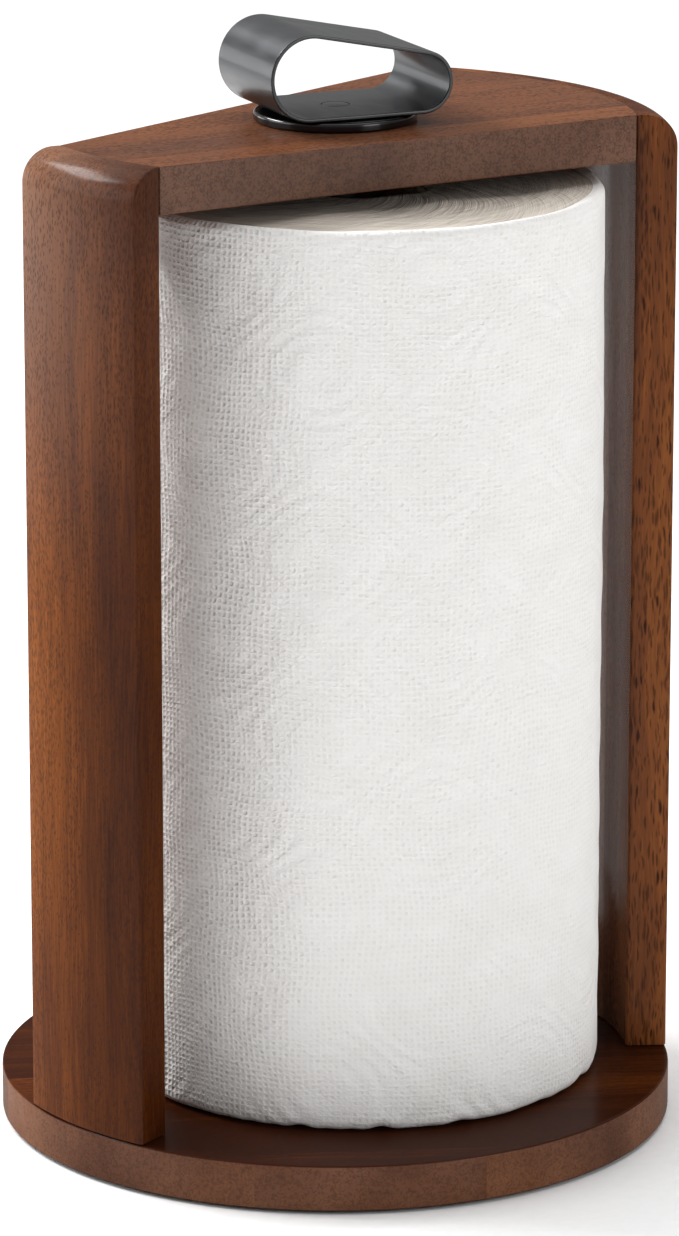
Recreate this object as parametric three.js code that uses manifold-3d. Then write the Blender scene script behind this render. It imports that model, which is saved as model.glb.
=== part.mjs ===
// A free-standing wooden paper towel holder with a full roll in it.
// A round base carries a narrow post and a wide curved wall, and a bow-shaped top plate is
// dowelled between them. A round rod with a strap handle drops through the plate and the roll
// into a blind hole in the base. Millimetres, +Z up, the front opening faces -Y, and the
// origin is under the centre of the base, on the surface that the foot pads stand on.
import * as THREE from 'three';
import { mergeVertices } from 'three/addons/utils/BufferGeometryUtils.js';
import Module from 'manifold-3d';

const wasm = await Module();
wasm.setup();

// Wooden frame
const GAP = 0.3;                 // between pieces that touch
const DISC_RADIUS = 105;         // base disc, and the outer face of post and wall
const BOARD = 14.5;              // thickness of the base disc and of the top plate
const WALL = 12.8;               // thickness of the post and of the wall
const HOLDER_TOP = 315;          // top face of the plate, the post and the wall
const TOP_ROUNDING = 10;         // outer top edge of the post and of the wall
const EASED_EDGE = 0.8;          // small bevel on the rim of the base disc
const POST_ARC = [177, 206];     // degrees round +Z from +X
const WALL_ARC = [-26, 45];
const JOINT_ANGLES = [184, 199, -17, 9.5, 36];   // a screw below and a dowel above at each

// Rubber pads, let into the underside
const PAD_RADIUS = 8;
const PAD_PROUD = 1;
const PAD_RECESS = 2;
const PAD_CIRCLE = 84;
const PAD_ANGLES = [45, 135, 225, 315];

// Countersunk wood screws, from the base up into the post and the wall
const SCREW_RADIUS = 2;
const SCREW_HEAD_RADIUS = 4;
const SCREW_HEAD_RIM = 0.5;
const SCREW_LENGTH = 34;
const SCREW_SINK = 1;            // head below the underside of the base

// Wooden dowels, level, from the edge of the plate into the post and the wall
const DOWEL_RADIUS = 3;
const DOWEL_LENGTH = 20;
const DOWEL_IN_WALL = 8;

// Lift-out rod and its handle
const ROD_RADIUS = 8;
const ROD_BEVEL = 1;
const ROD_CLEARANCE = 0.6;       // round the rod, in the plate and in the base
const SOCKET_DEPTH = 8;
const FLANGE_RADIUS = 25;
const FLANGE_HEIGHT = 2.8;
const FLANGE_BEVEL = 1;
const STRAP = 1.2;
const STRAP_WIDTH = 41;
const BIG_END = { x: -16.5, radius: 13.4 };
const SMALL_END = { x: 20.3, radius: 9.7 };
const HANDLE_TURN = -6.5;        // degrees from the line of the front opening
const HANDLE_SCREW_RADIUS = 2.4;
const HANDLE_SCREW_HEAD = 4.3;
const HANDLE_SCREW_DEPTH = 14;   // into the rod

// Paper roll, which hangs loosely round the rod
const ROLL_RADIUS = 75.6;
const ROLL_LENGTH = 279.4;       // a standard 11 inch roll
const ROLL_EDGE = 3;
const CORE_RADIUS = 21.5;
const CORE_WALL = 1.3;
const ROLL_SHIFT = { distance: 7.1, angle: -29.1 };

// Levels and radii worked out from them
const BASE_TOP = PAD_PROUD + BOARD;
const WALL_FOOT = BASE_TOP + GAP;
const WALL_INNER = DISC_RADIUS - WALL;
const PLATE_UNDERSIDE = HOLDER_TOP - BOARD;
const ROD_HOLE = ROD_RADIUS + ROD_CLEARANCE;
const FLANGE_BOTTOM = HOLDER_TOP + GAP;
const FLANGE_TOP = FLANGE_BOTTOM + FLANGE_HEIGHT;
const STRAP_BOTTOM = FLANGE_TOP + GAP;

// Facets round a full turn, and how far a cutter runs past the face that it opens
const DISC_FACETS = 96;
const ROLL_FACETS = 72;
const CORE_FACETS = 48;
const PIN_FACETS = 24;
const ROUNDING_STEPS = 6;
const PAST = 1;

const WOOD = { color: 0x5a3222, roughness: 0.42, metalness: 0 };
const DOWEL_WOOD = { color: 0xb98d5c, roughness: 0.7, metalness: 0 };
const STEEL = { color: 0xb4b6b8, roughness: 0.35, metalness: 1 };
const GUNMETAL = { color: 0x3a3d40, roughness: 0.38, metalness: 0.8 };
const BLACK = { color: 0x17181a, roughness: 0.3, metalness: 0.6 };
const RUBBER = { color: 0x1c1c1c, roughness: 0.9, metalness: 0 };
const PAPER = { color: 0xf1efea, roughness: 0.95, metalness: 0 };
const CARDBOARD = { color: 0xa88a66, roughness: 0.9, metalness: 0 };

const radians = THREE.MathUtils.degToRad;
const holder = new THREE.Group();

function piece(name, geometry, look, parent = holder) {
  const mesh = new THREE.Mesh(geometry, new THREE.MeshStandardMaterial(look));
  mesh.name = name;
  parent.add(mesh);
  return mesh;
}

// A closed geometry as a solid that can be cut and joined
function solid(geometry) {
  const bare = geometry.clone();
  bare.deleteAttribute('normal');
  bare.deleteAttribute('uv');
  const merged = mergeVertices(bare, 1e-4);
  const corners = merged.index.array;
  const triangles = [];
  for (let i = 0; i < corners.length; i += 3) {
    const [a, b, c] = corners.slice(i, i + 3);
    if (a !== b && b !== c && c !== a) triangles.push(a, b, c);
  }
  return new wasm.Manifold(new wasm.Mesh({
    numProp: 3,
    vertProperties: new Float32Array(merged.attributes.position.array),
    triVerts: new Uint32Array(triangles),
  }));
}

function surface(body) {
  const mesh = body.getMesh();
  const geometry = new THREE.BufferGeometry();
  geometry.setAttribute('position', new THREE.BufferAttribute(mesh.vertProperties, 3));
  geometry.setIndex(new THREE.BufferAttribute(mesh.triVerts, 1));
  geometry.computeVertexNormals();
  return geometry;
}

function cut(body, tools) {
  return tools.reduce((left, tool) => left.subtract(solid(tool)), body);
}

// A profile of [radius, z] points, which runs up the outside, turned round +Z
function turned(profile, facets) {
  const points = profile.map(([radius, z]) => new THREE.Vector2(radius, z));
  return new THREE.LatheGeometry(points, facets).rotateX(Math.PI / 2);
}

function pin(radius, bottom, top) {
  return turned([[0, bottom], [radius, bottom], [radius, top], [0, top]], PIN_FACETS);
}

// Profile points along an arc, between two angles in degrees
function arc(radius, z, bend, from, to, steps) {
  return Array.from({ length: steps + 1 }, (_, i) => {
    const angle = radians(from + (to - from) * i / steps);
    return [radius + bend * Math.cos(angle), z + bend * Math.sin(angle)];
  });
}

function polar(radius, degrees) {
  return [radius * Math.cos(radians(degrees)), radius * Math.sin(radians(degrees))];
}

// The screws stand on the middle line of the walls
function screwPlace(degrees) {
  return polar(WALL_INNER + WALL / 2, degrees);
}

function screw() {
  const bottom = PAD_PROUD + SCREW_SINK;
  const neck = bottom + SCREW_HEAD_RIM + SCREW_HEAD_RADIUS - SCREW_RADIUS;
  return turned([[0, bottom], [SCREW_HEAD_RADIUS, bottom],
    [SCREW_HEAD_RADIUS, bottom + SCREW_HEAD_RIM], [SCREW_RADIUS, neck],
    [SCREW_RADIUS, bottom + SCREW_LENGTH], [0, bottom + SCREW_LENGTH]], PIN_FACETS);
}

function screwHoles() {
  const bottom = PAD_PROUD + SCREW_SINK;
  const seat = SCREW_HEAD_RADIUS + GAP;
  const bore = SCREW_RADIUS + GAP;
  const neck = bottom + SCREW_HEAD_RIM + seat - bore;
  const end = bottom + SCREW_LENGTH + GAP;
  return JOINT_ANGLES.map((degrees) => {
    const [x, y] = screwPlace(degrees);
    const hole = turned([[0, PAD_PROUD - PAST], [seat, PAD_PROUD - PAST],
      [seat, bottom + SCREW_HEAD_RIM], [bore, neck], [bore, end], [0, end]], PIN_FACETS);
    return hole.translate(x, y, 0);
  });
}

// A dowel lies along a radius, half way up the edge of the plate
function dowel(degrees, clearance) {
  const outer = WALL_INNER + DOWEL_IN_WALL;
  return pin(DOWEL_RADIUS + clearance, outer - DOWEL_LENGTH - clearance, outer + clearance)
    .rotateY(Math.PI / 2)
    .rotateZ(radians(degrees))
    .translate(0, 0, HOLDER_TOP - BOARD / 2);
}

function dowelHoles() {
  return JOINT_ANGLES.map((degrees) => dowel(degrees, GAP));
}

function baseDisc() {
  const flat = DISC_RADIUS - EASED_EDGE;
  const disc = turned([[0, PAD_PROUD], [flat, PAD_PROUD], [DISC_RADIUS, PAD_PROUD + EASED_EDGE],
    [DISC_RADIUS, BASE_TOP - EASED_EDGE], [flat, BASE_TOP], [0, BASE_TOP]], DISC_FACETS);
  const socket = pin(ROD_HOLE, BASE_TOP - SOCKET_DEPTH, BASE_TOP + PAST);
  const recesses = PAD_ANGLES.map((degrees) => {
    const [x, y] = polar(PAD_CIRCLE, degrees);
    const recess = pin(PAD_RADIUS + GAP, PAD_PROUD - PAST, PAD_PROUD + PAD_RECESS + GAP);
    return recess.translate(x, y, 0);
  });
  piece('base_disc', surface(cut(solid(disc), [socket, ...recesses, ...screwHoles()])), WOOD);
}

// A full ring of wall, cut down to the arc between two radial end faces
function curvedWall(name, [from, to]) {
  const shoulder = DISC_RADIUS - TOP_ROUNDING;
  const ring = turned([[WALL_INNER, WALL_FOOT], [DISC_RADIUS, WALL_FOOT],
    ...arc(shoulder, HOLDER_TOP - TOP_ROUNDING, TOP_ROUNDING, 0, 90, ROUNDING_STEPS),
    [WALL_INNER, HOLDER_TOP], [WALL_INNER, WALL_FOOT]], DISC_FACETS);
  const reach = DISC_RADIUS * 2;
  const slice = new THREE.Shape([[0, 0], polar(reach, from), polar(reach, (from + to) / 2),
    polar(reach, to)].map(([x, y]) => new THREE.Vector2(x, y)));
  const wedge = new THREE.ExtrudeGeometry(slice, {
    depth: HOLDER_TOP + PAST, bevelEnabled: false,
  });
  const wall = solid(ring).intersect(solid(wedge));
  piece(name, surface(cut(wall, [...screwHoles(), ...dowelHoles()])), WOOD);
}

// The plate fills the bow between the walls: an arc along each, and a straight edge between
function topPlate() {
  const radius = WALL_INNER - GAP;
  const outline = new THREE.Shape();
  outline.absarc(0, 0, radius, radians(WALL_ARC[0]), radians(WALL_ARC[1]), false);
  outline.absarc(0, 0, radius, radians(POST_ARC[0]), radians(POST_ARC[1]), false);
  outline.closePath();
  const plate = new THREE.ExtrudeGeometry(outline, {
    depth: BOARD, bevelEnabled: false, curveSegments: 20,
  }).translate(0, 0, PLATE_UNDERSIDE);
  const rodHole = pin(ROD_HOLE, PLATE_UNDERSIDE - PAST, HOLDER_TOP + PAST);
  piece('top_plate', surface(cut(solid(plate), [rodHole, ...dowelHoles()])), WOOD);
}

function fasteners() {
  JOINT_ANGLES.forEach((degrees, i) => {
    const [x, y] = screwPlace(degrees);
    piece(`base_screw_${i + 1}`, screw(), STEEL).position.set(x, y, 0);
    piece(`plate_dowel_${i + 1}`, dowel(degrees, 0), DOWEL_WOOD);
  });
}

function footPads() {
  PAD_ANGLES.forEach((degrees, i) => {
    const [x, y] = polar(PAD_CIRCLE, degrees);
    const pad = pin(PAD_RADIUS, 0, PAD_PROUD + PAD_RECESS);
    piece(`foot_pad_${i + 1}`, pad, RUBBER).position.set(x, y, 0);
  });
}

function spindleRod() {
  const bottom = BASE_TOP - SOCKET_DEPTH + GAP;
  const rod = turned([[0, bottom], [ROD_RADIUS - ROD_BEVEL, bottom],
    [ROD_RADIUS, bottom + ROD_BEVEL], [ROD_RADIUS, HOLDER_TOP], [0, HOLDER_TOP]], PIN_FACETS);
  const threadEnd = HOLDER_TOP - HANDLE_SCREW_DEPTH - GAP;
  const thread = pin(HANDLE_SCREW_RADIUS + GAP, threadEnd, HOLDER_TOP + PAST);
  piece('spindle_rod', surface(cut(solid(rod), [thread])), GUNMETAL);
}

// The strap's outline is a belt round two circles that stand on one level
function belt(path, inset) {
  const run = SMALL_END.x - BIG_END.x;
  const drop = BIG_END.radius - SMALL_END.radius;
  const lean = Math.acos(drop / Math.hypot(run, drop)) - Math.atan2(drop, run);
  const smallLevel = STRAP_BOTTOM + SMALL_END.radius;
  const bigLevel = STRAP_BOTTOM + BIG_END.radius;
  path.absarc(SMALL_END.x, smallLevel, SMALL_END.radius - inset, -Math.PI / 2, lean, false);
  path.absarc(BIG_END.x, bigLevel, BIG_END.radius - inset, lean, 1.5 * Math.PI, false);
  path.closePath();
  return path;
}

function handle() {
  const grip = new THREE.Group();
  grip.rotation.z = radians(HANDLE_TURN);
  holder.add(grip);

  const flange = turned([[0, FLANGE_BOTTOM], [FLANGE_RADIUS, FLANGE_BOTTOM],
    [FLANGE_RADIUS, FLANGE_TOP - FLANGE_BEVEL], [FLANGE_RADIUS - FLANGE_BEVEL, FLANGE_TOP],
    [0, FLANGE_TOP]], CORE_FACETS);
  const shankHole = pin(HANDLE_SCREW_RADIUS + GAP, FLANGE_BOTTOM - PAST, FLANGE_TOP + PAST);
  piece('handle_flange', surface(cut(solid(flange), [shankHole])), BLACK, grip);

  const outline = belt(new THREE.Shape(), 0);
  outline.holes.push(belt(new THREE.Path(), STRAP));
  const strap = new THREE.ExtrudeGeometry(outline, {
    depth: STRAP_WIDTH, bevelEnabled: false, curveSegments: 18,
  }).translate(0, 0, -STRAP_WIDTH / 2).rotateX(Math.PI / 2);
  const floor = STRAP_BOTTOM + STRAP;
  const headHole = pin(HANDLE_SCREW_HEAD + GAP, STRAP_BOTTOM - PAST, floor + PAST);
  piece('handle_loop', surface(cut(solid(strap), [headHole])), GUNMETAL, grip);

  const tip = HOLDER_TOP - HANDLE_SCREW_DEPTH;
  const flushScrew = turned([[0, tip], [HANDLE_SCREW_RADIUS, tip],
    [HANDLE_SCREW_RADIUS, STRAP_BOTTOM], [HANDLE_SCREW_HEAD, STRAP_BOTTOM],
    [HANDLE_SCREW_HEAD, floor], [0, floor]], PIN_FACETS);
  piece('handle_screw', flushScrew, GUNMETAL, grip);
}

function roll() {
  const load = new THREE.Group();
  const [x, y] = polar(ROLL_SHIFT.distance, ROLL_SHIFT.angle);
  load.position.set(x, y, 0);
  holder.add(load);

  const top = WALL_FOOT + ROLL_LENGTH;
  const paperInner = CORE_RADIUS + GAP;
  const flat = ROLL_RADIUS - ROLL_EDGE;
  const paper = turned([[paperInner, WALL_FOOT],
    ...arc(flat, WALL_FOOT + ROLL_EDGE, ROLL_EDGE, -90, 0, 3),
    ...arc(flat, top - ROLL_EDGE, ROLL_EDGE, 0, 90, 3),
    [paperInner, top], [paperInner, WALL_FOOT]], ROLL_FACETS);
  piece('paper_roll', paper, PAPER, load);

  const coreInner = CORE_RADIUS - CORE_WALL;
  const core = turned([[coreInner, WALL_FOOT], [CORE_RADIUS, WALL_FOOT], [CORE_RADIUS, top],
    [coreInner, top], [coreInner, WALL_FOOT]], CORE_FACETS);
  piece('cardboard_core', core, CARDBOARD, load);
}

baseDisc();
curvedWall('narrow_post', POST_ARC);
curvedWall('wide_wall', WALL_ARC);
topPlate();
fasteners();
footPads();
spindleRod();
handle();
roll();

export default holder;
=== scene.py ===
"""The looks of the paper towel holder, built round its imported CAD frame.

Metres, +Z up, front opening towards -Y. Each section makes one sub-part, and the materials come
first. Levels and radii are read from the frame's own boxes.
"""

import math

import bpy
import numpy as np
from mathutils import Matrix, Vector


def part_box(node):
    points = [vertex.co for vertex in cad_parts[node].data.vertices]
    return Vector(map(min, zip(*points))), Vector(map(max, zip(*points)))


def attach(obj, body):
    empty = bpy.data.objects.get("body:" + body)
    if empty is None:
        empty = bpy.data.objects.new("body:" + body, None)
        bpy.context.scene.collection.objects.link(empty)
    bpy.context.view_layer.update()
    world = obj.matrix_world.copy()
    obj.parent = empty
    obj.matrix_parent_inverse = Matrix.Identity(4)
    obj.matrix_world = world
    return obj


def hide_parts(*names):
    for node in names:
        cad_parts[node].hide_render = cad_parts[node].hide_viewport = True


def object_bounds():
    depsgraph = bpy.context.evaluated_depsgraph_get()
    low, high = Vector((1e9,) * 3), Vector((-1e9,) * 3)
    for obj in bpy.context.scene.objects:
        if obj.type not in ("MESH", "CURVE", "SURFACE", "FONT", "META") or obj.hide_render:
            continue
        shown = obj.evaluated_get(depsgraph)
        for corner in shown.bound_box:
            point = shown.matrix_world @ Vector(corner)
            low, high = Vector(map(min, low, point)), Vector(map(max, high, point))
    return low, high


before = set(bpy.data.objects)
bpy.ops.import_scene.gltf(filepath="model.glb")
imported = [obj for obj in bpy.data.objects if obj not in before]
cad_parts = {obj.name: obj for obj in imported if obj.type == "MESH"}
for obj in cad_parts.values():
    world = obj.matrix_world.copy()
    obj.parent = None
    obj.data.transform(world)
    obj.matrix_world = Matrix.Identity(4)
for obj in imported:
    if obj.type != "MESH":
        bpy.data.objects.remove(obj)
cad_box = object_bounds()

MM = 0.001
SEED = 7

# Looseness between pieces, and how far edges are eased by hand sanding
GAP = 0.3 * MM
SEAM = 0.06 * MM
ROD_PLAY = 0.6 * MM
EDGE_EASE = 0.9 * MM
INNER_EASE = 1.2 * MM
FOOT_EASE = 0.35 * MM
RIM_EASE = 0.8 * MM
PLATE_EASE = 0.5 * MM
TOP_ROUNDING = 10 * MM
CORNER_STEPS = 5
ROUNDING_STEPS = 16
CRISP_ANGLE = math.radians(35)

# Numbers in the names of repeated pieces, and the straight rim of a countersunk head
PADS = range(1, 5)
SCREWS = range(1, 6)
DOWELS = range(1, 6)
SCREW_RIM = 0.5 * MM

# Read from the frame
base_low, base_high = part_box("base_disc")
wall_low, wall_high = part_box("wide_wall")
post_low, post_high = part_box("narrow_post")
plate_low, plate_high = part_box("top_plate")
rod_low, rod_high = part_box("spindle_rod")
flange_low, flange_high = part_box("handle_flange")
strap_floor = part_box("handle_loop")[0].z
roll_low, roll_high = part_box("paper_roll")
core_low, core_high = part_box("cardboard_core")

DISC_RADIUS = base_high.x
HOLDER_TOP = wall_high.z
WALL_FOOT = wall_low.z
WALL_INNER = plate_high.x + GAP
PLATE_UNDERSIDE = plate_low.z
WALL_ARC = tuple(math.degrees(math.asin(y / DISC_RADIUS)) for y in (wall_low.y, wall_high.y))
POST_ARC = tuple(180 - math.degrees(math.asin(y / DISC_RADIUS))
                 for y in (post_high.y, post_low.y))
ROD_HOLE = rod_high.x + ROD_PLAY
ROLL_CENTRE = (roll_low + roll_high) / 2
ROLL_RADIUS = (roll_high.x - roll_low.x) / 2
CORE_RADIUS = (core_high.x - core_low.x) / 2


# ---------------------------------------------------------------- meshes

def arc_points(centre, radius, start, end, steps):
    """Points on an arc between two angles in degrees, both ends included."""
    angles = np.radians(np.linspace(start, end, steps + 1))
    return [(centre[0] + radius * math.cos(a), centre[1] + radius * math.sin(a)) for a in angles]


def polar(radius, degrees):
    """A point at this distance and heading from the origin."""
    return radius * math.cos(math.radians(degrees)), radius * math.sin(math.radians(degrees))


def new_object(name, points, faces):
    """A smooth-shaded mesh object in the scene."""
    mesh = bpy.data.meshes.new(name)
    mesh.from_pydata(points, [], faces)
    mesh.validate()
    mesh.polygons.foreach_set("use_smooth", [True] * len(mesh.polygons))
    obj = bpy.data.objects.new(name, mesh)
    bpy.context.scene.collection.objects.link(obj)
    return obj


def loft(name, rings, loop=False):
    """A closed mesh through rings with the same number of points. It is capped at both ends, or
    with loop it runs back into its first ring."""
    count = len(rings[0])
    points = [tuple(p) for ring in rings for p in ring]
    faces = []
    for i in range(len(rings) if loop else len(rings) - 1):
        lower, upper = i * count, (i + 1) % len(rings) * count
        for j in range(count):
            k = (j + 1) % count
            faces.append((lower + j, lower + k, upper + k, upper + j))
    if not loop:
        faces.append(tuple(reversed(range(count))))
        faces.append(tuple(range((len(rings) - 1) * count, len(rings) * count)))
    return new_object(name, points, faces)


def turned(name, profile, segments, centre=(0, 0), loop=False):
    """A profile of (radius, z) points turned round an upright axis."""
    turns = [polar(1, 360 * i / segments) for i in range(segments)]
    rings = [[(centre[0] + r * x, centre[1] + r * y, z) for x, y in turns] for r, z in profile]
    return loft(name, rings, loop)


def pin_profile(radius, low, high, ease):
    """The profile of a solid upright pin with rounded edges."""
    return (arc_points((radius - ease, low + ease), ease, -90, 0, 4)
            + arc_points((radius - ease, high - ease), ease, 0, 90, 4))


def apply_modifiers(obj):
    graph = bpy.context.evaluated_depsgraph_get()
    mesh = bpy.data.meshes.new_from_object(obj.evaluated_get(graph))
    obj.modifiers.clear()
    obj.data = mesh


def carve(obj, cutters):
    """Cuts closed meshes out of obj, and keeps the cuts' edges crisp."""
    for cutter in cutters:
        cut = obj.modifiers.new("cut", "BOOLEAN")
        cut.operation = "DIFFERENCE"
        cut.solver = "EXACT"
        cut.object = cutter
    bpy.context.view_layer.update()
    apply_modifiers(obj)
    for cutter in cutters:
        bpy.data.objects.remove(cutter)
    obj.data.set_sharp_from_angle(angle=CRISP_ANGLE)


def keep_flats_flat(obj):
    """Shades rounded edges smoothly without bending the light on the flat faces beside them."""
    weighted = obj.modifiers.new("weighted", "WEIGHTED_NORMAL")
    weighted.keep_sharp = True
    weighted.weight = 80


def finish_piece(obj, body, slot, nodes, *materials):
    """Gives a piece its materials and its body, and hides the CAD nodes it stands for. slot is not
    used.
    """
    for material in materials:
        obj.data.materials.append(material)
    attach(obj, body)
    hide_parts(*nodes)


# ---------------------------------------------------------------- materials

class Shader:
    """A material's node tree, built one step at a time."""

    def __init__(self, name):
        self.material = bpy.data.materials.new(name)
        self.material.use_nodes = True
        self.tree = self.material.node_tree
        self.tree.nodes.clear()
        output = self.tree.nodes.new("ShaderNodeOutputMaterial")
        self.surface = self.node("ShaderNodeBsdfPrincipled")
        self.tree.links.new(self.surface.outputs[0], output.inputs["Surface"])

    def node(self, kind, settings=None, inputs=None):
        node = self.tree.nodes.new(kind)
        for key, value in (settings or {}).items():
            setattr(node, key, value)
        for key, value in (inputs or {}).items():
            self.feed(node.inputs[key], value)
        return node

    def feed(self, socket, value):
        if isinstance(value, bpy.types.NodeSocket):
            self.tree.links.new(value, socket)
        else:
            socket.default_value = value

    def place(self):
        return self.node("ShaderNodeTexCoord").outputs["Object"]

    def turn(self, vector, degrees):
        rotation = [math.radians(d) for d in degrees]
        return self.node("ShaderNodeMapping", None,
                         {"Vector": vector, "Rotation": rotation}).outputs[0]

    def parts(self, vector):
        return self.node("ShaderNodeSeparateXYZ", None, {0: vector}).outputs

    def join(self, x, y, z):
        return self.node("ShaderNodeCombineXYZ", None, {0: x, 1: y, 2: z}).outputs[0]

    def math(self, operation, *values):
        return self.node("ShaderNodeMath", {"operation": operation},
                         dict(enumerate(values))).outputs[0]

    def vector(self, operation, *values):
        return self.node("ShaderNodeVectorMath", {"operation": operation},
                         dict(enumerate(values))).outputs[0]

    def spread(self, value, low, high, new_low=0.0, new_high=1.0):
        """Value from low..high to new_low..new_high, eased and clamped."""
        return self.node("ShaderNodeMapRange", {"interpolation_type": "SMOOTHSTEP"},
                         {0: value, 1: low, 2: high, 3: new_low, 4: new_high}).outputs[0]

    def noise(self, vector, scale, detail=2.0, roughness=0.5, distortion=0.0):
        """Noise whose scale may differ along the three axes, in cells per metre."""
        scales = scale if isinstance(scale, tuple) else (scale,) * 3
        return self.node("ShaderNodeTexNoise", None, {
            "Vector": self.vector("MULTIPLY", vector, scales), "Scale": 1.0, "Detail": detail,
            "Roughness": roughness, "Distortion": distortion}).outputs

    def stir(self, vector, scale, reach):
        """Offsets that bend straight grain, up to about a third of reach each way."""
        centred = self.vector("SUBTRACT", self.noise(vector, scale, 1.0)["Color"], (0.5,) * 3)
        return self.vector("MULTIPLY", centred, reach)

    def centred(self, value):
        return self.math("SUBTRACT", value, 0.5)

    def blend_value(self, factor, first, second):
        return self.math("MULTIPLY_ADD", self.math("SUBTRACT", second, first), factor, first)

    def cells(self, vector, scale):
        """Distances to scattered points, whose spacing may differ along the three axes."""
        return self.node("ShaderNodeTexVoronoi", None, {
            "Vector": self.vector("MULTIPLY", vector, scale), "Scale": 1.0,
            "Randomness": 1.0}).outputs

    def ramp(self, value, stops):
        node = self.node("ShaderNodeValToRGB", None, {0: value})
        elements = node.color_ramp.elements
        while len(elements) < len(stops):
            elements.new(0.5)
        for element, (position, colour) in zip(elements, stops):
            element.position = position
            element.color = (*colour, 1.0)
        return node.outputs[0]

    def mix(self, factor, first, second):
        """From the first colour to the second as factor goes from 0 to 1."""
        node = self.node("ShaderNodeMix", {"data_type": "RGBA"})
        for index, value in ((0, factor), (6, first), (7, second)):
            self.feed(node.inputs[index], (*value, 1.0) if isinstance(value, tuple) else value)
        return node.outputs[2]

    def bump(self, height, distance, strength=1.0, under=None):
        inputs = {"Strength": strength, "Distance": distance, "Height": height}
        if under is not None:
            inputs["Normal"] = under
        return self.node("ShaderNodeBump", None, inputs).outputs[0]

    def set(self, **inputs):
        """Feeds the surface's sockets, and returns the finished material."""
        for name, value in inputs.items():
            socket = self.surface.inputs[name.replace("_", " ")]
            self.feed(socket, (*value, 1.0) if isinstance(value, tuple) else value)
        return self.material


WOOD_STOPS = ((0.0, (0.034, 0.0080, 0.0022)), (0.33, (0.080, 0.0200, 0.0036)),
              (0.60, (0.158, 0.0430, 0.0064)), (1.0, (0.300, 0.0930, 0.0150)))
# Greyer tones of sawn upright faces: partly the wood's own, partly a painted reflection of the pale
# surroundings
SAWN_SHEEN_STOPS = ((0.3, (0.078, 0.034, 0.020)), (0.7, (0.160, 0.076, 0.046)))
PORE_COLOUR = (0.022, 0.0068, 0.0032)
# Grey mixed in as a painted reflection of the pale surroundings
PAINTED_SHEEN_COLOUR = (0.200, 0.168, 0.150)
SAWN_SHEEN_SHARE = 0.75

# Height from which the painted light and shade and the painted grey reflection grow towards the
# holder's top
HIGH_FROM = 170 * MM

# Noise in cells per metre, first along the grain and then twice across it
BEND = (9, 22, 22)
BEND_REACH = 10 * MM
FIGURE = (3.0, 34, 34)
STREAKS = (10, 240, 240)
FIBRES = (60, 1300, 1300)
CROWDING = (14, 90, 90)
FLECKS = (70, 420, 420)
WAVINESS = (20, 55, 55)
PORES_ACROSS = 1120


def cut_boards(s, along, board, shift, seed):
    """Random numbers for each glued board, and coordinates that give each board its own log."""
    strip = s.math("FLOOR", s.math("ADD", s.math("DIVIDE", s.parts(along)[1], board), shift))
    chance = s.node("ShaderNodeTexWhiteNoise", {"noise_dimensions": "1D"},
                    {"W": s.math("ADD", strip, seed)}).outputs
    return chance["Value"], s.vector("ADD", along, chance["Color"])


def short_pores(s, moved, bent, pore_length):
    """Short pores along the grain, larger where they crowd together."""
    pore = s.cells(bent, (1 / pore_length, PORES_ACROSS, PORES_ACROSS))["Distance"]
    crowd = s.spread(s.noise(moved, CROWDING, 2.0)[0], 0.30, 0.62)
    reach = s.math("MULTIPLY_ADD", crowd, 0.22, 0.28)
    return s.spread(s.math("DIVIDE", pore, reach), 0.5, 1.2, 1.0, 0.0)


def sawn_pores(s, moved):
    """Pores as small curls and grit, on a face cut across the grain."""
    crest = s.math("ABSOLUTE", s.centred(s.noise(moved, 820.0, 1.0)[0]))
    gaps = s.spread(s.noise(moved, 520.0, 1.0)[0], 0.42, 0.60)
    curls = s.math("MULTIPLY", s.spread(crest, 0.0, 0.10, 1.0, 0.0), gaps)
    grit = s.spread(s.noise(moved, 1300.0, 2.0)[0], 0.50, 0.66, 0.0, 0.8)
    return s.math("MAXIMUM", curls, grit)


def sawn_colour_and_sheen(s, moved, chance, boards):
    """Greyer smudges on a face cut across the grain: partly the wood's own tone, and partly a
    painted reflection of the pale surroundings.
    """
    patch = s.math("MULTIPLY_ADD", s.centred(chance), boards, s.noise(moved, 34.0, 2.0)[0])
    return s.ramp(patch, SAWN_SHEEN_STOPS)


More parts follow.
